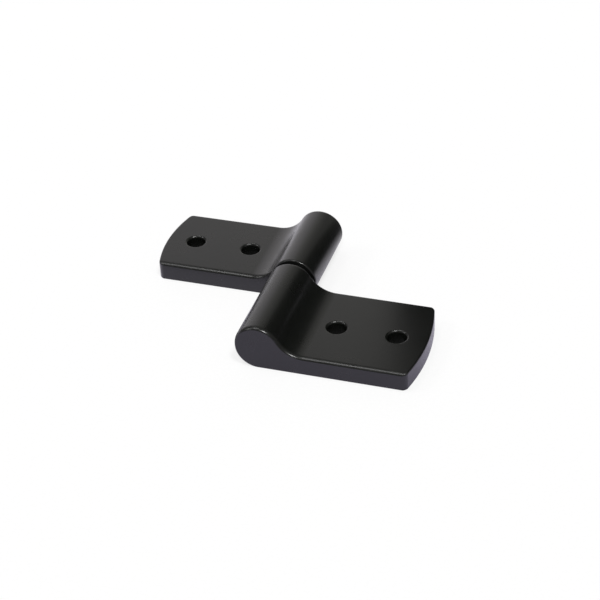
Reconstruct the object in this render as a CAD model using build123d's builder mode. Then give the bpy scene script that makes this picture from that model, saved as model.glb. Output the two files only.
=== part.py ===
from build123d import *
import math
import os

# Two-knuckle lift-off door hinge, opened flat, in millimetres.
# X runs along the leaves, Y along the hinge pin and Z up from the leaves' flat backs.
# The origin is on the mounting plane, under the pin and half way along the two knuckles.

# Leaves and knuckles
knuckle_diameter = 16.5
leaf_thickness = 6.8
leaf_reach = 55.0  # pin axis to the crown of the leaf's curved end
end_crown = 2.7  # how far the curved end stands out past its corners
frame_leaf_width = 40.0
door_leaf_width = 34.0
knuckle_gap = 2.0
neck_radius = 11.0  # hollow curve between the knuckle and the flat of the leaf
edge_round = 0.8
corner_round = 1.7  # the upright edges at the leaves' ends

# Screw holes, clearance for M6
screw_hole_diameter = 6.6
screw_hole_front_round = 0.9
screw_hole_back_round = 0.3
inner_hole_reach = 22.5  # pin axis to the nearer hole
screw_hole_pitch = 21.5

# Hinge pin, pressed into the frame leaf and free in the door leaf
pin_diameter = 8.0
pin_pressed_length = 28.0
pin_free_length = 26.0  # the part inside the door leaf
pin_end_chamfer = 0.8
pin_root_clearance = 1.0  # left beyond the pin's pressed end
pin_tip_clearance = 2.0  # left beyond the pin's free end
bore_mouth_chamfer = 0.4

# Bearing bush, pressed into the door leaf
bush_diameter = 11.0
bush_length = 24.0
bush_inset = 0.5  # how far the bush sits inside the knuckle's end face
bush_running_clearance = 0.05  # all round the pin
bush_lead_in = 0.4

# Thrust washer, loose on the pin between the knuckles
washer_diameter = 13.5
washer_end_float = 0.05  # on each face of the washer
washer_bore_clearance = 0.1  # all round the pin
washer_edge_chamfer = 0.2

# Places that follow from the sizes above
knuckle_radius = knuckle_diameter / 2
total_width = frame_leaf_width + knuckle_gap + door_leaf_width
frame_inner_y = frame_leaf_width - total_width / 2
door_inner_y = frame_inner_y + knuckle_gap
door_outer_y = total_width / 2
corner_reach = leaf_reach - end_crown
hole_middle_reach = inner_hole_reach + screw_hole_pitch / 2
pin_length = pin_pressed_length + knuckle_gap + pin_free_length

# The neck's arc touches the round of the knuckle at one end and the leaf's flat at the other
neck_height = leaf_thickness + neck_radius
neck_reach = math.sqrt((knuckle_radius + neck_radius) ** 2 - (neck_height - knuckle_radius) ** 2)
knuckle_share = knuckle_radius / (knuckle_radius + neck_radius)
neck_touch_x = neck_reach * knuckle_share
neck_touch_z = knuckle_radius + (neck_height - knuckle_radius) * knuckle_share

# Square to the hinge pin and centred on it, facing +Y
pin_plane = Plane(origin=(0, 0, knuckle_radius), x_dir=(1, 0, 0), z_dir=(0, 1, 0))


def solid_leaf(side, high_y, width):
    """Return a leaf with its knuckle and screw holes, before its knuckle is bored.

    side is +1 for a leaf that runs to +X and -1 for one that runs to -X. The leaf fills
    the width below high_y.
    """
    middle_y = high_y - width / 2
    with BuildPart() as leaf:
        # Knuckle, neck and flat, seen along the pin
        with BuildSketch(Plane.XZ.offset(-high_y)):
            with BuildLine():
                Polyline(
                    (0, 0),
                    (side * leaf_reach, 0),
                    (side * leaf_reach, leaf_thickness),
                    (side * neck_reach, leaf_thickness),
                )
                neck = TangentArc(
                    (side * neck_reach, leaf_thickness),
                    (side * neck_touch_x, neck_touch_z),
                    tangent=(-side, 0),
                )
                TangentArc(neck @ 1, (0, 0), tangent=neck % 1)
            make_face()
        extrude(amount=width)

        # Seen from above, the leaf ends in a shallow arc
        with BuildSketch():
            with BuildLine():
                Polyline(
                    (side * corner_reach, high_y),
                    (-side * knuckle_diameter, high_y),
                    (-side * knuckle_diameter, high_y - width),
                    (side * corner_reach, high_y - width),
                )
                ThreePointArc(
                    (side * corner_reach, high_y - width),
                    (side * leaf_reach, middle_y),
                    (side * corner_reach, high_y),
                )
            make_face()
        extrude(amount=knuckle_diameter, mode=Mode.INTERSECT)

        # The corners first, then both end faces and the curved end all round
        fillet(leaf.edges().filter_by(Axis.Z), radius=corner_round)
        smooth_edges = leaf.edges().filter_by(Axis.Y) + leaf.edges().filter_by(Axis.Z)
        fillet(leaf.edges() - smooth_edges, radius=edge_round)

        with Locations((side * hole_middle_reach, middle_y, leaf_thickness)):
            with GridLocations(screw_hole_pitch, screw_hole_pitch, 2, 1):
                Hole(radius=screw_hole_diameter / 2)
        rims = leaf.edges(Select.LAST).filter_by(GeomType.CIRCLE).group_by(Axis.Z)
        fillet(rims[-1], radius=screw_hole_front_round)
        fillet(rims[0], radius=screw_hole_back_round)
    return leaf.part


# The leaf that is screwed to the door frame, with a blind bore for the pin
frame_leaf_blank = solid_leaf(1, frame_inner_y, frame_leaf_width)
with BuildPart() as frame_leaf:
    add(frame_leaf_blank)
    with Locations(pin_plane.offset(frame_inner_y)):
        Hole(radius=pin_diameter / 2, depth=pin_pressed_length + pin_root_clearance)
    mouth = frame_leaf.edges(Select.LAST).filter_by(GeomType.CIRCLE).sort_by(Axis.Y)[-1]
    chamfer(mouth, length=bore_mouth_chamfer)

# The leaf that is screwed to the door, with a blind bore for the bush
door_leaf_blank = solid_leaf(-1, door_outer_y, door_leaf_width)
with BuildPart() as door_leaf:
    add(door_leaf_blank)
    with Locations(-pin_plane.offset(door_inner_y)):
        Hole(radius=bush_diameter / 2, depth=pin_free_length + pin_tip_clearance)
    mouth = door_leaf.edges(Select.LAST).filter_by(GeomType.CIRCLE).sort_by(Axis.Y)[0]
    chamfer(mouth, length=bore_mouth_chamfer)

# Hinge pin, with both ends chamfered
with BuildPart() as hinge_pin:
    with BuildSketch(pin_plane.offset(frame_inner_y - pin_pressed_length)):
        Circle(pin_diameter / 2)
    extrude(amount=pin_length)
    chamfer(hinge_pin.edges().filter_by(GeomType.CIRCLE), length=pin_end_chamfer)

# Bearing bush, with a lead-in at the end where the pin comes in
with BuildPart() as bearing_bush:
    with BuildSketch(pin_plane.offset(door_inner_y + bush_inset)):
        Circle(bush_diameter / 2)
        Circle(pin_diameter / 2 + bush_running_clearance, mode=Mode.SUBTRACT)
    extrude(amount=bush_length)
    front_edges = bearing_bush.faces().sort_by(Axis.Y)[0].edges()
    chamfer(front_edges.sort_by(SortBy.LENGTH)[0], length=bush_lead_in)

# Thrust washer, a little thinner than the gap between the knuckles
with BuildPart() as thrust_washer:
    with BuildSketch(pin_plane.offset(frame_inner_y + washer_end_float)):
        Circle(washer_diameter / 2)
        Circle(pin_diameter / 2 + washer_bore_clearance, mode=Mode.SUBTRACT)
    extrude(amount=knuckle_gap - 2 * washer_end_float)
    rims = thrust_washer.edges().filter_by(GeomType.CIRCLE).sort_by(SortBy.LENGTH)[-2:]
    chamfer(rims, length=washer_edge_chamfer)

frame_leaf.part.label = "frame_leaf"
door_leaf.part.label = "door_leaf"
hinge_pin.part.label = "hinge_pin"
bearing_bush.part.label = "bearing_bush"
thrust_washer.part.label = "thrust_washer"

os.makedirs("parts", exist_ok=True)
export_step(frame_leaf.part, "parts/frame_leaf.step")
export_step(door_leaf.part, "parts/door_leaf.step")
export_step(hinge_pin.part, "parts/hinge_pin.step")
export_step(bearing_bush.part, "parts/bearing_bush.step")
export_step(thrust_washer.part, "parts/thrust_washer.step")
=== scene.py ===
"""Looks for a two-knuckle lift-off door hinge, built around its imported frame.

The frame brings the two leaves, the hinge pin, the bearing bush and the thrust washer. This
script builds both leaves again with softly rolled edges, to stand in for the frame's own, and
gives every piece its finish. Then it sets up a pale floor, soft studio light and a camera. All
sizes are in metres, on the frame's own axes: X runs along the leaves, Y along the hinge pin and
Z up from the plane that the leaves are screwed to.
"""

import logging
import math
from dataclasses import dataclass
from enum import Enum

import bmesh
import bpy
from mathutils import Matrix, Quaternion, Vector


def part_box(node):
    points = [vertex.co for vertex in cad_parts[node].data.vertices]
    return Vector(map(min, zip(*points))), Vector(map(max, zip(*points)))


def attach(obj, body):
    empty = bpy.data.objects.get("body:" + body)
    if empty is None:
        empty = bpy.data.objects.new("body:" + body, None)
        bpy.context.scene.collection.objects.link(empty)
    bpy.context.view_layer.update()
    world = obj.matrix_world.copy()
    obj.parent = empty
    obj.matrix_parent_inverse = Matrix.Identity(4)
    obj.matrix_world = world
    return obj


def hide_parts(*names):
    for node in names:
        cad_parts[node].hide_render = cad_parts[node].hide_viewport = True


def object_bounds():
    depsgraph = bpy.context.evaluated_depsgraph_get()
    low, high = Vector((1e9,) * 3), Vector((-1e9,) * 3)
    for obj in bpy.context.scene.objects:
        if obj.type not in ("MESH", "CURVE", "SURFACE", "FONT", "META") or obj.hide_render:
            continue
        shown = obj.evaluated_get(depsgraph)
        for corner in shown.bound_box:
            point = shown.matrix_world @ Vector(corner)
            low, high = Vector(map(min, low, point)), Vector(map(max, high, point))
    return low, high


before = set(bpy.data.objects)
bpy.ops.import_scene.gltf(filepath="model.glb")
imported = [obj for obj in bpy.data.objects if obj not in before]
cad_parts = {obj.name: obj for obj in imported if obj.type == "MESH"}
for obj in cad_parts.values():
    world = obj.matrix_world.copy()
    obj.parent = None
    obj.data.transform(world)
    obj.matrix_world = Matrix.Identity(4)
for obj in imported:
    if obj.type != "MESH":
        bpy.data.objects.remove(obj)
cad_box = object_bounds()

MM = 0.001
Z_AXIS = Vector((0.0, 0.0, 1.0))

log = logging.getLogger("door_hinge")

Colour = tuple[float, float, float]
Point = tuple[float, float]
Span = tuple[float, float]
Socket = bpy.types.NodeSocket


class Axis(Enum):
    """The frame's axes, as the outputs of a Separate XYZ node are named."""

    X = "X"
    Y = "Y"
    Z = "Z"


class MathOp(Enum):
    """The sums that the finishes need, as Blender names them."""

    ADD = "ADD"
    SUBTRACT = "SUBTRACT"
    MULTIPLY = "MULTIPLY"
    DIVIDE = "DIVIDE"


class Graph:
    """A node tree under construction."""

    def __init__(self, tree: bpy.types.NodeTree) -> None:
        """Take a node tree and empty it.

        Args:
            tree: The tree of a material, a world or a node group.
        """
        self.tree = tree
        self.tree.nodes.clear()

    def add(self, kind: str, **settings: object) -> bpy.types.Node:
        """Add one node.

        Args:
            kind: Blender's name for the node's type.
            **settings: Properties of the node, by name.

        Returns:
            The new node.
        """
        node = self.tree.nodes.new(kind)
        for name, value in settings.items():
            setattr(node, name, value)
        return node

    def feed(self, target: Socket, value: object) -> None:
        """Link an output to an input, or set the input's own value.

        Args:
            target: The input.
            value: An output to link, or a plain number, vector or colour.
        """
        if isinstance(value, bpy.types.NodeSocket):
            self.tree.links.new(value, target)
        else:
            target.default_value = value

    def math(self, op: MathOp, first: object, second: object) -> Socket:
        """Work out one sum.

        Args:
            op: Which sum.
            first: An output or a number.
            second: An output or a number.

        Returns:
            The result.
        """
        node = self.add("ShaderNodeMath", operation=op.value)
        self.feed(node.inputs[0], first)
        self.feed(node.inputs[1], second)
        return node.outputs["Value"]

    def ramp(
        self,
        value: object,
        start: object,
        end: object,
        low: object = 0.0,
        high: object = 1.0,
        smooth: bool = True,
    ) -> Socket:
        """Turn a range of values into another, held at both ends.

        Args:
            value: What to read.
            start: The value that gives low.
            end: The value that gives high.
            low: The result at start.
            high: The result at end.
            smooth: Ease in and out instead of going straight.

        Returns:
            The result.
        """
        kind = "SMOOTHSTEP" if smooth else "LINEAR"
        node = self.add("ShaderNodeMapRange", interpolation_type=kind)
        for name, part in zip(
            ("Value", "From Min", "From Max", "To Min", "To Max"), (value, start, end, low, high)
        ):
            self.feed(node.inputs[name], part)
        return node.outputs["Result"]

    def blend(self, share: object, first: object, second: object) -> Socket:
        """Mix two colours.

        Args:
            share: How much of the second, from 0 to 1.
            first: A colour or an output.
            second: A colour or an output.

        Returns:
            The mixed colour.
        """
        node = self.add("ShaderNodeMix", data_type="RGBA")
        for target, value in zip((0, 6, 7), (share, first, second)):
            self.feed(node.inputs[target], value)
        return node.outputs[2]

    def noise(self, where: Socket, scale: object, detail: float, roughness: float) -> Socket:
        """Add a fractal noise.

        Args:
            where: Where on the object it is read.
            scale: Its frequency, per metre.
            detail: How many octaves it has.
            roughness: How much of each finer octave it has.

        Returns:
            The noise, about 0 to 1.
        """
        node = self.add("ShaderNodeTexNoise", noise_dimensions="3D")
        self.feed(node.inputs["Vector"], where)
        self.feed(node.inputs["Scale"], scale)
        node.inputs["Detail"].default_value = detail
        node.inputs["Roughness"].default_value = roughness
        return node.outputs[0]

    def place(self) -> Socket:
        """Give the point on the object, on the frame's axes at rest."""
        return self.add("ShaderNodeTexCoord").outputs["Object"]

    def split(self, vector: Socket, axis: Axis) -> Socket:
        """Give one component of a vector.

        Args:
            vector: The vector.
            axis: Which component.

        Returns:
            The component.
        """
        node = self.add("ShaderNodeSeparateXYZ")
        self.feed(node.inputs[0], vector)
        return node.outputs[axis.value]

    def use(self, group: bpy.types.NodeTree, **values: object) -> bpy.types.Node:
        """Place a shared effect.

        Args:
            group: The effect's node group.
            **values: Its inputs by name, with _ for a space.

        Returns:
            The group's node, for its outputs.
        """
        node = self.add("ShaderNodeGroup")
        node.node_tree = group
        for name, value in values.items():
            self.feed(node.inputs[name.replace("_", " ")], value)
        return node

    def bump(self, height: object, depth: float) -> Socket:
        """Turn a height into a surface normal.

        Args:
            height: The height, about 0 to 1.
            depth: How deep a height of 1 is, in metres.

        Returns:
            The normal.
        """
        node = self.add("ShaderNodeBump")
        node.inputs["Strength"].default_value = 1.0
        node.inputs["Distance"].default_value = depth
        self.feed(node.inputs["Height"], height)
        return node.outputs["Normal"]


class SharedEffect:
    """A node group that several finishes use, built once."""

    def __init__(self, name: str, inputs: dict[str, float], outputs: tuple[str, ...]) -> None:
        """Start the group with its sockets.

        Args:
            name: The group's name.
            inputs: The inputs' names and usual values.
            outputs: The outputs' names.
        """
        self.tree = bpy.data.node_groups.new(name, "ShaderNodeTree")
        for label, usual in inputs.items():
            socket = self.tree.interface.new_socket(
                name=label, in_out="INPUT", socket_type="NodeSocketFloat"
            )
            socket.default_value = usual
        for label in outputs:
            self.tree.interface.new_socket(
                name=label, in_out="OUTPUT", socket_type="NodeSocketFloat"
            )
        self.graph = Graph(self.tree)
        self.inside = self.graph.add("NodeGroupInput").outputs
        self.result = self.graph.add("NodeGroupOutput").inputs


HANDLED_NOISE: Span = (0.38, 0.68)  # the noise over which clean turns to touched
EDGE_LIKENESS: Span = (0.995, 0.93)  # how alike two normals are, off an edge and on it
BROKEN_NOISE: Span = (0.4, 0.62)  # the noise over which wear sets in
PORE_DISTANCE: Span = (0.34, 0.14)  # from the rim of a pore to its deep middle, in cells


def paint_relief() -> bpy.types.NodeTree:
    """Build the relief of sprayed or moulded skin: soft waves with a finer grain on them.

    Returns:
        A group with Wave Scale, Grain Scale and Grain Share in, and Height out.
    """
    effect = SharedEffect(
        "skin_relief", {"Wave Scale": 700.0, "Grain Scale": 5000.0, "Grain Share": 0.3}, ("Height",)
    )
    graph = effect.graph
    where = graph.place()
    waves = graph.noise(where, effect.inside["Wave Scale"], 1.0, 0.4)
    grain = graph.noise(where, effect.inside["Grain Scale"], 2.0, 0.6)
    grain_part = graph.math(MathOp.MULTIPLY, grain, effect.inside["Grain Share"])
    graph.feed(effect.result["Height"], graph.math(MathOp.ADD, waves, grain_part))
    return effect.tree


def handling() -> bpy.types.NodeTree:
    """Build the faint patches that hands and wiping leave on a smooth surface.

    Returns:
        A group with Scale, Clean and Touched in, the last two being roughnesses, and
        Roughness and Mask out.
    """
    effect = SharedEffect(
        "handling", {"Scale": 60.0, "Clean": 0.3, "Touched": 0.34}, ("Roughness", "Mask")
    )
    graph = effect.graph
    patches = graph.noise(graph.place(), effect.inside["Scale"], 3.0, 0.55)
    mask = graph.ramp(patches, *HANDLED_NOISE)
    roughness = graph.ramp(
        mask, 0.0, 1.0, effect.inside["Clean"], effect.inside["Touched"], smooth=False
    )
    graph.feed(effect.result["Mask"], mask)
    graph.feed(effect.result["Roughness"], roughness)
    return effect.tree


def edge_wear() -> bpy.types.NodeTree:
    """Build a mask of the object's convex and hollow edges, broken up by a fine noise.

    Returns:
        A group with Reach, Break Scale and Amount in, and Mask out.
    """
    effect = SharedEffect(
        "edge_wear", {"Reach": 0.0009, "Break Scale": 900.0, "Amount": 1.0}, ("Mask",)
    )
    graph = effect.graph
    rounded = graph.add("ShaderNodeBevel", samples=6)
    graph.feed(rounded.inputs["Radius"], effect.inside["Reach"])
    plain = graph.add("ShaderNodeNewGeometry").outputs["Normal"]
    likeness = graph.add("ShaderNodeVectorMath", operation="DOT_PRODUCT")
    graph.feed(likeness.inputs[0], rounded.outputs["Normal"])
    graph.feed(likeness.inputs[1], plain)
    edges = graph.ramp(likeness.outputs["Value"], *EDGE_LIKENESS)
    breaks = graph.noise(graph.place(), effect.inside["Break Scale"], 4.0, 0.6)
    broken = graph.ramp(breaks, *BROKEN_NOISE)
    mask = graph.math(MathOp.MULTIPLY, edges, broken)
    graph.feed(effect.result["Mask"], graph.math(MathOp.MULTIPLY, mask, effect.inside["Amount"]))
    return effect.tree


def tool_marks() -> bpy.types.NodeTree:
    """Build the fine rings that turning, grinding or boring leaves along the hinge pin's axis.

    Returns:
        A group with Pitch and Unevenness in, and Height out.
    """
    effect = SharedEffect("tool_marks", {"Pitch": 0.00018, "Unevenness": 0.00006}, ("Height",))
    graph = effect.graph
    where = graph.place()
    along = graph.split(where, Axis.Y)
    wander = graph.math(
        MathOp.MULTIPLY, graph.noise(where, 240.0, 2.0, 0.5), effect.inside["Unevenness"]
    )
    moved = graph.math(MathOp.ADD, along, wander)
    turns = graph.math(MathOp.DIVIDE, moved, effect.inside["Pitch"])
    line = graph.add("ShaderNodeTexNoise", noise_dimensions="1D")
    graph.feed(line.inputs["W"], turns)
    line.inputs["Scale"].default_value = 1.0
    line.inputs["Detail"].default_value = 3.0
    graph.feed(effect.result["Height"], line.outputs[0])
    return effect.tree


@dataclass(frozen=True)
class Effects:
    """The shared node groups."""

    skin: bpy.types.NodeTree
    handling: bpy.types.NodeTree
    wear: bpy.types.NodeTree
    marks: bpy.types.NodeTree

    @classmethod
    def build(cls) -> "Effects":
        """Build every group once."""
        return cls(paint_relief(), handling(), edge_wear(), tool_marks())


def new_surface(name: str) -> tuple[bpy.types.Material, Graph, bpy.types.Node]:
    """Start a material with a Principled shader.

    Args:
        name: The material's name.

    Returns:
        The material, its node graph and the shader.
    """
    material = bpy.data.materials.new(name)
    material.use_nodes = True
    graph = Graph(material.node_tree)
    shader = graph.add("ShaderNodeBsdfPrincipled")
    output = graph.add("ShaderNodeOutputMaterial")
    graph.feed(output.inputs["Surface"], shader.outputs["BSDF"])
    return material, graph, shader


@dataclass(frozen=True)
class SatinBlackCoat:
    """Stoved satin black coat on the cast leaves."""

    name: str = "satin_black_coat"
    colour: Colour = (0.0043, 0.0048, 0.0041)
    rubbed_colour: Colour = (0.0080, 0.0085, 0.0078)
    index: float = 1.5
    clean_roughness: float = 0.27
    touched_roughness: float = 0.30
    wave_scale: float = 480.0
    grain_scale: float = 2300.0
    grain_share: float = 0.12
    relief: float = 0.0000045
    rub_reach: float = 0.0011

    def build(self, effects: Effects) -> bpy.types.Material:
        """Make the material.

        Args:
            effects: The shared effects.

        Returns:
            The material.
        """
        material, graph, shader = new_surface(self.name)
        hands = graph.use(
            effects.handling, Scale=55.0, Clean=self.clean_roughness, Touched=self.touched_roughness
        )
        rubbed = graph.use(effects.wear, Reach=self.rub_reach, Break_Scale=700.0, Amount=0.6)
        skin = graph.use(
            effects.skin,
            Wave_Scale=self.wave_scale,
            Grain_Scale=self.grain_scale,
            Grain_Share=self.grain_share,
        )
        colour = graph.blend(rubbed.outputs["Mask"], (*self.colour, 1.0), (*self.rubbed_colour, 1.0))
        graph.feed(shader.inputs["Base Color"], colour)
        graph.feed(shader.inputs["Roughness"], hands.outputs["Roughness"])
        graph.feed(shader.inputs["IOR"], self.index)
        graph.feed(shader.inputs["Normal"], graph.bump(skin.outputs["Height"], self.relief))
        return material


@dataclass(frozen=True)
class GroundSteel:
    """Bright steel, ground round the pin's axis."""

    name: str = "ground_steel"
    colour: Colour = (0.50, 0.50, 0.51)
    dull_colour: Colour = (0.36, 0.355, 0.35)
    clean_roughness: float = 0.2
    touched_roughness: float = 0.3
    mark_pitch: float = 0.00022
    relief: float = 0.0000012

    def build(self, effects: Effects) -> bpy.types.Material:
        """Make the material.

        Args:
            effects: The shared effects.

        Returns:
            The material.
        """
        material, graph, shader = new_surface(self.name)
        marks = graph.use(effects.marks, Pitch=self.mark_pitch, Unevenness=0.00004)
        hands = graph.use(
            effects.handling, Scale=140.0, Clean=self.clean_roughness, Touched=self.touched_roughness
        )
        colour = graph.blend(hands.outputs["Mask"], (*self.colour, 1.0), (*self.dull_colour, 1.0))
        graph.feed(shader.inputs["Base Color"], colour)
        graph.feed(shader.inputs["Metallic"], 1.0)
        graph.feed(shader.inputs["Roughness"], hands.outputs["Roughness"])
        graph.feed(shader.inputs["Normal"], graph.bump(marks.outputs["Height"], self.relief))
        return material


@dataclass(frozen=True)
class SinteredBronze:
    """Oil-filled sintered bronze, with its pores."""

    name: str = "sintered_bronze"
    colour: Colour = (0.42, 0.25, 0.105)
    oiled_colour: Colour = (0.20, 0.115, 0.05)
    pore_colour: Colour = (0.05, 0.03, 0.018)
    pore_scale: float = 5200.0
    clean_roughness: float = 0.33
    oiled_roughness: float = 0.22
    relief: float = 0.000015

    def build(self, effects: Effects) -> bpy.types.Material:
        """Make the material.

        Args:
            effects: The shared effects.

        Returns:
            The material.
        """
        material, graph, shader = new_surface(self.name)
        oil = graph.use(
            effects.handling, Scale=190.0, Clean=self.clean_roughness, Touched=self.oiled_roughness
        )
        pores = graph.add("ShaderNodeTexVoronoi", feature="F1")
        graph.feed(pores.inputs["Vector"], graph.place())
        graph.feed(pores.inputs["Scale"], self.pore_scale)
        pore_mask = graph.ramp(pores.outputs["Distance"], *PORE_DISTANCE)
        skin = graph.blend(oil.outputs["Mask"], (*self.colour, 1.0), (*self.oiled_colour, 1.0))
        colour = graph.blend(pore_mask, skin, (*self.pore_colour, 1.0))
        height = graph.math(MathOp.SUBTRACT, 1.0, pore_mask)
        graph.feed(shader.inputs["Base Color"], colour)
        graph.feed(shader.inputs["Metallic"], 1.0)
        graph.feed(shader.inputs["Roughness"], oil.outputs["Roughness"])
        graph.feed(shader.inputs["Normal"], graph.bump(height, self.relief))
        return material


@dataclass(frozen=True)
class BearingPlastic:
    """Black moulded bearing plastic."""

    name: str = "bearing_plastic"
    colour: Colour = (0.011, 0.011, 0.012)
    rubbed_colour: Colour = (0.022, 0.022, 0.023)
    clean_roughness: float = 0.42
    touched_roughness: float = 0.5
    relief: float = 0.000012

    def build(self, effects: Effects) -> bpy.types.Material:
        """Make the material.

        Args:
            effects: The shared effects.

        Returns:
            The material.
        """
        material, graph, shader = new_surface(self.name)
        hands = graph.use(
            effects.handling, Scale=300.0, Clean=self.clean_roughness, Touched=self.touched_roughness
        )
        rubbed = graph.use(effects.wear, Reach=0.0003, Break_Scale=2500.0, Amount=0.8)
        skin = graph.use(effects.skin, Wave_Scale=2200.0, Grain_Scale=9000.0, Grain_Share=0.6)
        colour = graph.blend(rubbed.outputs["Mask"], (*self.colour, 1.0), (*self.rubbed_colour, 1.0))
        graph.feed(shader.inputs["Base Color"], colour)
        graph.feed(shader.inputs["Roughness"], hands.outputs["Roughness"])
        graph.feed(shader.inputs["Normal"], graph.bump(skin.outputs["Height"], self.relief))
        return material


def dress(node: str, material: bpy.types.Material) -> bpy.types.Object:
    """Give a node of the frame its finish.

    Args:
        node: The node's name.
        material: The finish.

    Returns:
        The node's object.
    """
    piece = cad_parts[node]
    for index in range(len(piece.material_slots)):
        piece.material_slots[index].link = "OBJECT"
        piece.material_slots[index].material = material
    return piece


@dataclass(frozen=True)
class Finishes:
    """Every finish of the hinge, as materials."""

    coat: bpy.types.Material
    steel: bpy.types.Material
    bronze: bpy.types.Material
    plastic: bpy.types.Material

    @classmethod
    def build(cls, effects: Effects) -> "Finishes":
        """Make every finish.

        Args:
            effects: The shared effects.

        Returns:
            The finishes.
        """
        return cls(
            SatinBlackCoat().build(effects),
            GroundSteel().build(effects),
            SinteredBronze().build(effects),
            BearingPlastic().build(effects),
        )


class Mouth(Enum):
    """The end face of a knuckle that its bore opens through."""

    LOW_Y = -1
    HIGH_Y = 1


def on_circle(centre: Point, radius: float, angle: float) -> Point:
    """Give a point of a circle.

    Args:
        centre: Its centre.
        radius: Its radius.
        angle: The point's angle, in degrees from the first axis.

    Returns:
        The point.
    """
    turn = math.radians(angle)
    return (centre[0] + radius * math.cos(turn), centre[1] + radius * math.sin(turn))


def arc(centre: Point, radius: float, start: float, end: float, steps: int) -> list[Point]:
    """Give the points of an arc, both ends included.

    Args:
        centre: Its centre.
        radius: Its radius.
        start: The angle of its first point, in degrees from the first axis.
        end: The angle of its last point.
        steps: How many chords it has.

    Returns:
        The points.
    """
    angles = [start + (end - start) * step / steps for step in range(steps + 1)]
    return [on_circle(centre, radius, angle) for angle in angles]


def fall(distance: float, reach: float, depth: float) -> float:
    """Give how far a quarter-ellipse edge has fallen below its surface.

    Args:
        distance: How far in from the edge the point is.
        reach: How far in the edge starts to fall.
        depth: How far it falls in all.

    Returns:
        The fall, from depth at the edge to nothing at reach.
    """
    share = max(0.0, 1.0 - distance / reach)
    return depth * (1.0 - math.sqrt(1.0 - share * share))


def lathe(name: str, profile: list[Point], axis: Vector, foot: Vector, sides: int) -> bpy.types.Object:
    """Turn a profile round an axis into a closed solid.

    Args:
        name: The object's name.
        profile: Pairs of a radius and a distance along the axis, in order along it.
        axis: The axis.
        foot: Where distance 0 is.
        sides: How many flats the solid has.

    Returns:
        The solid.
    """
    across = axis.orthogonal().normalized()
    other = axis.cross(across)
    solid = bmesh.new()
    turns = [math.tau * side / sides for side in range(sides)]
    spokes = [across * math.cos(turn) + other * math.sin(turn) for turn in turns]
    rings = []
    for radius, along in profile:
        centre = foot + axis * along
        rings.append([solid.verts.new(centre + spoke * radius) for spoke in spokes])
    for low, high in zip(rings, rings[1:]):
        for index in range(sides):
            after = (index + 1) % sides
            solid.faces.new((low[index], low[after], high[after], high[index]))
    solid.faces.new(rings[0])
    solid.faces.new(rings[-1])
    return finished(name, solid)


def finished(name: str, solid: bmesh.types.BMesh) -> bpy.types.Object:
    """Turn a bmesh into an object with its faces turned outwards.

    Args:
        name: The object's name.
        solid: The bmesh, which is freed.

    Returns:
        The object.
    """
    bmesh.ops.recalc_face_normals(solid, faces=solid.faces)
    mesh = bpy.data.meshes.new(name)
    solid.to_mesh(mesh)
    solid.free()
    piece = bpy.data.objects.new(name, mesh)
    bpy.context.scene.collection.objects.link(piece)
    return piece


def cut(piece: bpy.types.Object, cutters: list[bpy.types.Object]) -> None:
    """Cut solids out of a piece and remove them.

    Args:
        piece: What is cut.
        cutters: The solids to cut away.
    """
    for cutter in cutters:
        step = piece.modifiers.new(cutter.name, "BOOLEAN")
        step.operation = "DIFFERENCE"
        step.solver = "EXACT"
        step.object = cutter
    result = bpy.data.meshes.new_from_object(
        piece.evaluated_get(bpy.context.evaluated_depsgraph_get())
    )
    piece.modifiers.clear()
    piece.data = result
    for cutter in cutters:
        bpy.data.objects.remove(cutter)


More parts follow.
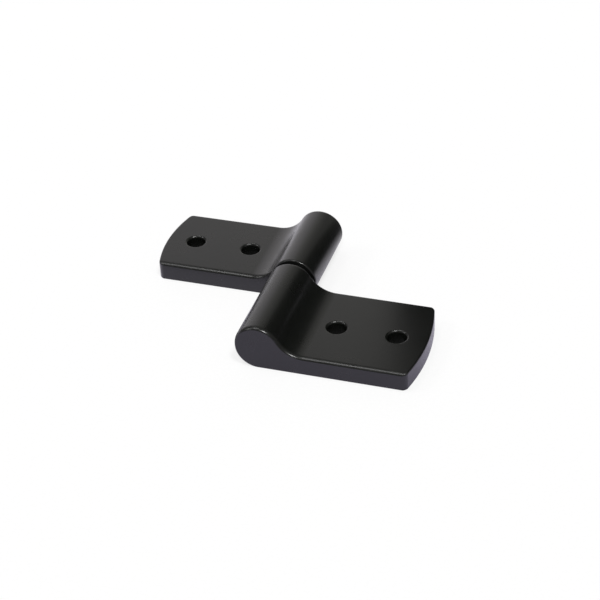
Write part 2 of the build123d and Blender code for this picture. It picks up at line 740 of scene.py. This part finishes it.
@dataclass(frozen=True)
class LeafCasting:
    """A leaf and its knuckle, cast in one piece, with rolled edges, screw holes and a bore."""

    node: str
    side: int  # +1 for a leaf that runs to +X, -1 for one that runs to -X
    mouth: Mouth
    bore_radius: float
    bore_depth: float
    knuckle_roll_reach: float
    knuckle_roll_depth: float
    thickness: float = 6.8 * MM
    end_crown: float = 2.7 * MM
    neck_radius: float = 11.0 * MM
    roll_reach: float = 2.0 * MM
    roll_depth: float = 0.9 * MM
    far_roll_reach: float = 0.9 * MM
    far_roll_depth: float = 0.45 * MM
    corner_round: float = 0.6 * MM
    upright_round: float = 1.7 * MM
    back_round: float = 0.35 * MM
    hole_radius: float = 3.3 * MM
    inner_hole_reach: float = 22.5 * MM
    hole_pitch: float = 21.5 * MM
    hole_lip: float = 0.9 * MM
    back_lip: float = 0.3 * MM
    lip_turn: float = 78.0  # how far round its quarter circle a rim is cut, in degrees
    mouth_chamfer: float = 0.4 * MM
    overrun: float = 1.0 * MM
    knuckle_steps: int = 84
    neck_steps: int = 24
    edge_steps: int = 10
    middle_steps: int = 12
    hole_sides: int = 64
    back_steps: int = 4
    lip_steps: int = 10
    back_lip_steps: int = 6
    holes: int = 2
    sharp_degrees: float = 35.0
    flat_face_weight: int = 50

    def outline(self, roll: float, knuckle_roll: float, back: float, reach: float) -> list[Point]:
        """Give the casting's outline seen along the pin, anticlockwise from the back of its end.

        Args:
            roll: How far the front of the leaf is set in.
            knuckle_roll: How far the knuckle is set in.
            back: How far the back is set in.
            reach: How far the leaf reaches from the pin.

        Returns:
            The points, as a distance along the leaf and a height.
        """
        knuckle = self.knuckle_radius
        neck_height = self.thickness + self.neck_radius
        centres = knuckle + self.neck_radius
        neck_x = math.sqrt(centres**2 - (neck_height - knuckle) ** 2)
        lean = math.degrees(math.asin((neck_height - knuckle) / centres))
        points = arc(
            (reach - self.back_round, back + self.back_round),
            self.back_round,
            -90,
            0,
            self.back_steps,
        )
        points += arc(
            (reach - self.corner_round, self.thickness - roll - self.corner_round),
            self.corner_round,
            0,
            90,
            self.edge_steps,
        )
        for step in range(self.neck_steps + 1):
            share = step / self.neck_steps
            angle = 270 + (lean - 90) * share
            radius = self.neck_radius + roll + (knuckle_roll - roll) * share
            points.append(on_circle((neck_x, neck_height), radius, angle))
        for step in range(1, self.knuckle_steps + 1):
            angle = lean + (270 - lean) * step / self.knuckle_steps
            share = max(0.0, (angle - 180) / 90)
            radius = knuckle - knuckle_roll + (knuckle_roll - back) * share
            points.append(on_circle((0.0, knuckle), radius, angle))
        return points

    @property
    def knuckle_radius(self) -> float:
        """Give the knuckle's radius, half the casting's height."""
        low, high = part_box(self.node)
        return round((high.z - low.z) / 2, 5)

    def stations(self, width: float) -> list[float]:
        """Give where the outlines stand across the leaf, closer together on its edges.

        Args:
            width: The leaf's width.

        Returns:
            The distances from the low face.
        """
        edge = set()
        for reach in (self.roll_reach, self.far_roll_reach, self.upright_round, self.back_round):
            for step in range(self.edge_steps + 1):
                turn = math.radians(90 * step / self.edge_steps)
                edge.add(round(reach * (1 - math.sin(turn)), 7))
        span = width - 2 * self.roll_reach
        middle = [
            self.roll_reach + span * step / self.middle_steps for step in range(1, self.middle_steps)
        ]
        return sorted(edge) + middle + sorted(width - distance for distance in edge)

    def blank(self) -> bpy.types.Object:
        """Build the casting before its holes are cut.

        Returns:
            The casting.
        """
        low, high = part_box(self.node)
        reach = round(max(abs(low.x), abs(high.x)), 4)
        width = round(high.y - low.y, 5)
        half = width / 2
        crown_radius = (half**2 + self.end_crown**2) / (2 * self.end_crown)
        solid = bmesh.new()
        rings = []
        for station in self.stations(width):
            inward = min(station, width - station)
            crown = crown_radius - math.sqrt(crown_radius**2 - (station - half) ** 2)
            near_roll = fall(station, self.roll_reach, self.roll_depth)
            far_roll = fall(width - station, self.far_roll_reach, self.far_roll_depth)
            knuckle_near_roll = fall(station, self.knuckle_roll_reach, self.knuckle_roll_depth)
            outline = self.outline(
                near_roll + far_roll,
                knuckle_near_roll + far_roll,
                fall(inward, self.back_round, self.back_round),
                reach - crown - fall(inward, self.upright_round, self.upright_round),
            )
            rings.append(
                [solid.verts.new((self.side * x, low.y + station, z)) for x, z in outline]
            )
        count = len(rings[0])
        for near, far in zip(rings, rings[1:]):
            for index in range(count):
                after = (index + 1) % count
                solid.faces.new((near[index], near[after], far[after], far[index]))
        solid.faces.new(rings[0])
        solid.faces.new(rings[-1])
        return finished(f"{self.node}_casting", solid)

    def hole_cutter(self, name: str, x: float, y: float) -> bpy.types.Object:
        """Build the solid that cuts one screw hole with its rounded rims.

        Args:
            name: The cutter's name.
            x: Where the hole is.
            y: Where the hole is.

        Returns:
            The cutter.
        """
        back = arc(
            (self.hole_radius + self.back_lip, self.back_lip),
            self.back_lip,
            180 + self.lip_turn,
            180,
            self.back_lip_steps,
        )
        front = arc(
            (self.hole_radius + self.hole_lip, self.thickness - self.hole_lip),
            self.hole_lip,
            180,
            180 - self.lip_turn,
            self.lip_steps,
        )
        flare = math.tan(math.radians(self.lip_turn))
        low = (back[0][0] + flare * self.overrun, back[0][1] - self.overrun)
        high = (front[-1][0] + flare * self.overrun, front[-1][1] + self.overrun)
        profile = [low, *back, *front, high]
        return lathe(name, profile, Z_AXIS.copy(), Vector((x, y, 0.0)), self.hole_sides)

    def bore_cutter(self, name: str) -> bpy.types.Object:
        """Build the solid that cuts the knuckle's bore with its chamfered mouth.

        Args:
            name: The cutter's name.

        Returns:
            The cutter.
        """
        low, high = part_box(self.node)
        mouth_y = high.y if self.mouth is Mouth.HIGH_Y else low.y
        inwards = Vector((0.0, -float(self.mouth.value), 0.0))
        wide = self.bore_radius + self.mouth_chamfer
        profile = [
            (wide + self.overrun, -self.overrun),
            (wide, 0.0),
            (self.bore_radius, self.mouth_chamfer),
            (self.bore_radius, self.bore_depth),
        ]
        foot = Vector((0.0, mouth_y, self.knuckle_radius))
        return lathe(name, profile, inwards, foot, self.hole_sides)

    def build(self, coat: bpy.types.Material, body: str) -> bpy.types.Object:
        """Build the casting, coat it and let it stand for its node.

        Args:
            coat: The coat's material.
            body: The body that it rides on.

        Returns:
            The casting.
        """
        low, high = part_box(self.node)
        piece = self.blank()
        middle_y = (low.y + high.y) / 2
        cutters = [self.bore_cutter("bore")]
        for number in range(self.holes):
            x = self.side * (self.inner_hole_reach + number * self.hole_pitch)
            cutters.append(self.hole_cutter(f"hole_{number}", x, middle_y))
        cut(piece, cutters)
        piece.data.shade_smooth()
        piece.data.set_sharp_from_angle(angle=math.radians(self.sharp_degrees))
        even = piece.modifiers.new("even_shading", "WEIGHTED_NORMAL")
        even.mode = "FACE_AREA"
        even.weight = self.flat_face_weight
        even.keep_sharp = True
        piece.data.materials.clear()
        piece.data.materials.append(coat)
        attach(piece, body)
        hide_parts(self.node)
        return piece


@dataclass
class FrameSide:
    """The leaf on the door frame, with the hinge pin pressed into its knuckle."""

    leaf: LeafCasting = LeafCasting(
        "frame_leaf", 1, Mouth.HIGH_Y, 4.0 * MM, 29.0 * MM, 2.0 * MM, 0.9 * MM
    )
    pin: str = "hinge_pin"

    def build(self, finishes: Finishes) -> list[bpy.types.Object]:
        """Build the leaf and dress the pin.

        Args:
            finishes: The finishes.

        Returns:
            The pieces.
        """
        return [
            self.leaf.build(finishes.coat, "frame_side"),
            dress(self.pin, finishes.steel),
        ]


@dataclass
class DoorSide:
    """The leaf on the door, with the bearing bush pressed into its knuckle."""

    leaf: LeafCasting = LeafCasting(
        "door_leaf", -1, Mouth.LOW_Y, 5.5 * MM, 28.0 * MM, 0.9 * MM, 0.5 * MM
    )
    bush: str = "bearing_bush"

    def build(self, finishes: Finishes) -> list[bpy.types.Object]:
        """Build the leaf and dress the bush.

        Args:
            finishes: The finishes.

        Returns:
            The pieces.
        """
        return [
            self.leaf.build(finishes.coat, "door_side"),
            dress(self.bush, finishes.bronze),
        ]


@dataclass
class Washer:
    """The loose washer between the knuckles."""

    node: str = "thrust_washer"

    def build(self, finishes: Finishes) -> list[bpy.types.Object]:
        """Dress the washer.

        Args:
            finishes: The finishes.

        Returns:
            The pieces.
        """
        return [dress(self.node, finishes.plastic)]


@dataclass(frozen=True)
class Lamp:
    """A soft lamp far from the hinge, set by the direction that it stands in."""

    name: str
    towards: Colour
    width_degrees: float
    strength: float
    colour: Colour = (1.0, 1.0, 1.0)
    mirrored: bool = True

    def build(self) -> bpy.types.Object:
        """Make the lamp and aim it.

        Returns:
            The lamp.
        """
        data = bpy.data.lights.new(self.name, "SUN")
        data.angle = math.radians(self.width_degrees)
        data.energy = self.strength
        data.color = self.colour
        lamp = bpy.data.objects.new(self.name, data)
        lamp.rotation_mode = "QUATERNION"
        lamp.rotation_quaternion = Vector(self.towards).to_track_quat("Z", "Y")
        lamp.location = Vector(self.towards).normalized()
        lamp.visible_glossy = self.mirrored
        bpy.context.scene.collection.objects.link(lamp)
        return lamp


@dataclass
class Studio:
    """The pale floor, the lamps, the room round them and the camera."""

    floor_half_width: float = 4.0
    floor_drop: float = 0.00005
    # Painted shade and tint on the floor, seen only in reflections: darker and violet in front,
    # lighter behind.
    front_painted_tint: Colour = (0.85, 0.80, 1.0)
    rear_painted_tint: Colour = (0.95, 0.93, 1.0)
    front_painted_shade_tone: float = 0.87
    rear_painted_shade_tone: float = 1.0
    # Painted shade in the corner behind the frame leaf, seen only in reflections.
    corner_painted_shade_tone: float = 0.33
    end_painted_shade_tone: float = 0.9
    floor_seen_colour: Colour = (0.19, 0.19, 0.19)
    background: float = 0.98
    floor_glow: float = 0.76
    fibre_scale: float = 900.0
    fibre_noise: Span = (0.3, 0.7)
    fibre_share: float = 0.015
    fibre_colour: Colour = (0.8, 0.8, 0.8)
    floor_y: Span = (-0.03, 0.045)  # over which the front painted shade and tint turn to the rear ones
    end_y: Span = (-0.03, -0.004)  # the same for the painted shade beyond the frame leaf's end
    end_x: Span = (0.047, 0.054)  # where the floor beyond that end starts
    corner_x: Span = (0.004, 0.02)  # where the painted shade in the corner behind the frame leaf starts
    corner_y: Span = (0.022, 0.055)
    key: Lamp = Lamp("key_lamp", (0.31, -0.30, 0.90), 13.0, 1.7)
    fill: Lamp = Lamp("fill_lamp", (-0.28, 0.09, 0.955), 18.0, 0.45)
    side_lamp: Lamp = Lamp("side_lamp", (-0.70, -0.18, 0.68), 14.0, 0.4)
    floor_lamp: Lamp = Lamp("floor_lamp", (0.15, -0.6, 0.79), 12.0, 1.0, mirrored=False)
    room_colour: Colour = (1.0, 0.982, 0.945)
    room_left_colour: Colour = (1.0, 0.965, 0.99)
    front_level: float = 0.22
    bright_level: float = 0.535
    dark_level: float = 0.19
    bright_x: float = -0.33
    dark_x: float = 0.30
    low_boost: float = 1.8
    behind_y: Span = (0.35, 0.8)  # how far back a direction points, from the front to the rear
    overhead_z: Span = (1.0, 0.6)  # how far up, from overhead to the walls
    low_z: Span = (0.57, 0.535)  # how far up the low boost starts and is full
    left_x: Span = (-0.24, -0.33)  # how far across the left tint starts and is full
    # Painted shade seen only in reflections: a black card standing behind on the right.
    shade_card_low: Colour = (0.0222, 0.06, 0.0)
    shade_card_size: tuple[float, float] = (0.14, 0.14)
    shade_card_tone: float = 0.01
    # Painted shade seen only in reflections: grey cards lying on the floor in front of the door leaf
    # and under both leaves.
    grey_shade_tone: float = 0.14
    grey_shade_cards: tuple[tuple[float, float, float, float], ...] = (  # left, right, near, far
        (-0.06, -0.0085, -0.037, -0.006),
        (0.016, 0.051, -0.036, 0.0),
        (-0.051, -0.016, 0.006, 0.036),
    )
    azimuth_degrees: float = 19.364
    elevation_degrees: float = 35.42
    roll_degrees: float = -3.004
    distance: float = 0.5953
    aim: tuple[float, float, float] = (0.0039, -0.0018, -0.00425)
    lens: float = 100.08

    def build_floor(self) -> bpy.types.Object:
        """Make the floor, a sheet of matt board. In reflections it carries painted shade and tint:
        darker and violet in front, less so beyond the frame leaf's end, and dark in the corner behind
        it.

        Returns:
            The floor.
        """
        mesh = bpy.data.meshes.new("studio_floor")
        sheet = bmesh.new()
        bmesh.ops.create_grid(sheet, x_segments=8, y_segments=8, size=self.floor_half_width)
        sheet.to_mesh(mesh)
        sheet.free()
        floor = bpy.data.objects.new("studio_floor", mesh)
        floor.location.z = cad_box[0].z - self.floor_drop
        bpy.context.scene.collection.objects.link(floor)
        material, graph, shader = new_surface("matt_board")
        fibre = graph.noise(graph.place(), self.fibre_scale, 3.0, 0.6)
        tone = graph.ramp(fibre, *self.fibre_noise)
        ray = graph.add("ShaderNodeLightPath").outputs["Is Camera Ray"]
        where = graph.place()
        along = graph.split(where, Axis.X)
        across = graph.split(where, Axis.Y)
        # Painted shade seen only in reflections: the floor's tone changes with place, and the camera
        # sees the plain colour.
        plain = graph.ramp(across, *self.floor_y, self.front_painted_shade_tone, self.rear_painted_shade_tone)
        end_painted_shade = graph.ramp(across, *self.end_y, self.end_painted_shade_tone, self.rear_painted_shade_tone)
        past_end = graph.ramp(along, *self.end_x)
        level = graph.ramp(past_end, 0.0, 1.0, plain, end_painted_shade, smooth=False)
        # Painted shade in the corner behind the frame leaf, seen only in reflections.
        corner = graph.math(
            MathOp.MULTIPLY,
            graph.ramp(along, *self.corner_x),
            graph.ramp(across, *self.corner_y),
        )
        level = graph.ramp(corner, 0.0, 1.0, level, self.corner_painted_shade_tone, smooth=False)
        # Painted tint, seen only in reflections.
        tint = graph.blend(
            graph.ramp(across, *self.floor_y), (*self.front_painted_tint, 1.0), (*self.rear_painted_tint, 1.0)
        )
        shaded = graph.blend(level, (0.0, 0.0, 0.0, 1.0), tint)
        sheet_colour = graph.blend(ray, shaded, (*self.floor_seen_colour, 1.0))
        speck = graph.ramp(tone, 0.0, 1.0, self.fibre_share, 0.0)
        colour = graph.blend(speck, sheet_colour, (*self.fibre_colour, 1.0))
        graph.feed(shader.inputs["Base Color"], colour)
        graph.feed(shader.inputs["Roughness"], graph.ramp(fibre, *self.fibre_noise, 0.85, 0.95))
        graph.feed(shader.inputs["Specular IOR Level"], 0.1)
        graph.feed(shader.inputs["Emission Color"], (1.0, 1.0, 1.0, 1.0))
        glow = graph.math(MathOp.MULTIPLY, ray, self.floor_glow)
        graph.feed(shader.inputs["Emission Strength"], glow)
        mesh.materials.append(material)
        return floor

    def build_reflected_shade(
        self, name: str, finish: str, points: list[Colour], tone: float
    ) -> bpy.types.Object:
        """Make flat cards of painted shade that show only in reflections.

        Args:
            name: The object's name.
            finish: The material's name.
            points: The cards' corners, four to a card.
            tone: How light they are.

        Returns:
            The cards, as one object.
        """
        mesh = bpy.data.meshes.new(name)
        mesh.from_pydata(points, [], [range(first, first + 4) for first in range(0, len(points), 4)])
        card = bpy.data.objects.new(name, mesh)
        card.visible_camera = False
        card.visible_diffuse = False
        card.visible_shadow = False
        bpy.context.scene.collection.objects.link(card)
        material, graph, shader = new_surface(finish)
        graph.feed(shader.inputs["Base Color"], (tone, tone, tone, 1.0))
        graph.feed(shader.inputs["Roughness"], 1.0)
        graph.feed(shader.inputs["Specular IOR Level"], 0.0)
        mesh.materials.append(material)
        return card

    def build_shade_cards(self) -> list[bpy.types.Object]:
        """Make the cards of painted shade, seen only in reflections: the black card behind on the
        right and the grey cards under and beside the leaves.

        Returns:
            The two objects.
        """
        width, height = self.shade_card_size
        left, depth, foot = self.shade_card_low
        upright = [
            (left, depth, foot),
            (left + width, depth, foot),
            (left + width, depth, foot + height),
            (left, depth, foot + height),
        ]
        # The grey cards of painted shade lie just above the floor.
        level = cad_box[0].z - self.floor_drop / 2
        flat = []
        for low_x, high_x, near, far in self.grey_shade_cards:
            flat += [(low_x, near, level), (high_x, near, level)]
            flat += [(high_x, far, level), (low_x, far, level)]
        return [
            self.build_reflected_shade("black_shade_card", "black_shade_paint", upright, self.shade_card_tone),
            self.build_reflected_shade("grey_shade_card", "grey_shade_paint", flat, self.grey_shade_tone),
        ]

    def build_room(self) -> bpy.types.World:
        """Make the room: bright behind on the left, fading to the right, dim in front.

        Returns:
            The room, as a world.
        """
        world = bpy.data.worlds.new("studio_room")
        world.use_nodes = True
        graph = Graph(world.node_tree)
        towards = graph.add("ShaderNodeTexCoord").outputs["Generated"]
        across = graph.split(towards, Axis.X)
        sweep = graph.ramp(across, self.dark_x, self.bright_x, self.dark_level, self.bright_level)
        behind = graph.ramp(graph.split(towards, Axis.Y), *self.behind_y)
        height = graph.split(towards, Axis.Z)
        low = graph.ramp(height, *self.overhead_z)
        share = graph.math(MathOp.MULTIPLY, behind, low)
        boost = graph.ramp(height, *self.low_z, 1.0, self.low_boost)
        swept = graph.math(MathOp.MULTIPLY, sweep, boost)
        level = graph.ramp(share, 0.0, 1.0, self.front_level, swept, smooth=False)
        light = graph.add("ShaderNodeBackground")
        tint = graph.blend(
            graph.ramp(across, *self.left_x), (*self.room_colour, 1.0), (*self.room_left_colour, 1.0)
        )
        graph.feed(light.inputs["Color"], tint)
        graph.feed(light.inputs["Strength"], level)
        seen = graph.add("ShaderNodeBackground")
        graph.feed(seen.inputs["Strength"], self.background)
        choice = graph.add("ShaderNodeMixShader")
        ray = graph.add("ShaderNodeLightPath").outputs["Is Camera Ray"]
        graph.feed(choice.inputs[0], ray)
        graph.feed(choice.inputs[1], light.outputs[0])
        graph.feed(choice.inputs[2], seen.outputs[0])
        output = graph.add("ShaderNodeOutputWorld")
        graph.feed(output.inputs["Surface"], choice.outputs[0])
        bpy.context.scene.world = world
        return world

    def build_camera(self) -> bpy.types.Object:
        """Make the camera and frame the hinge.

        Returns:
            The camera.
        """
        lo, hi = cad_box
        azimuth = math.radians(self.azimuth_degrees)
        elevation = math.radians(self.elevation_degrees)
        back = Vector(
            (
                math.sin(azimuth) * math.cos(elevation),
                -math.cos(azimuth) * math.cos(elevation),
                math.sin(elevation),
            )
        )
        data = bpy.data.cameras.new("camera")
        data.lens = self.lens
        camera = bpy.data.objects.new("camera", data)
        camera.rotation_mode = "QUATERNION"
        level = (-back).to_track_quat("-Z", "Y")
        camera.rotation_quaternion = level @ Quaternion(Z_AXIS, math.radians(self.roll_degrees))
        camera.location = (lo + hi) / 2 + Vector(self.aim) + back * self.distance
        bpy.context.scene.collection.objects.link(camera)
        bpy.context.scene.camera = camera
        return camera

    def build(self) -> None:
        """Set up the whole studio."""
        self.build_floor()
        self.build_shade_cards()
        self.build_room()
        for lamp in (self.key, self.fill, self.side_lamp, self.floor_lamp):
            lamp.build()
        self.build_camera()
        bpy.context.scene.view_settings.view_transform = "Standard"


def main() -> None:
    """Dress every sub-assembly, set up the studio and report each piece."""
    logging.basicConfig(level=logging.INFO, format="%(name)s: %(message)s")
    finishes = Finishes.build(Effects.build())
    for part in (FrameSide(), DoorSide(), Washer()):
        for piece in part.build(finishes):
            log.info("%s: %s has its finish", type(part).__name__, piece.name)
    Studio().build()


if __name__ == "__main__":
    main()
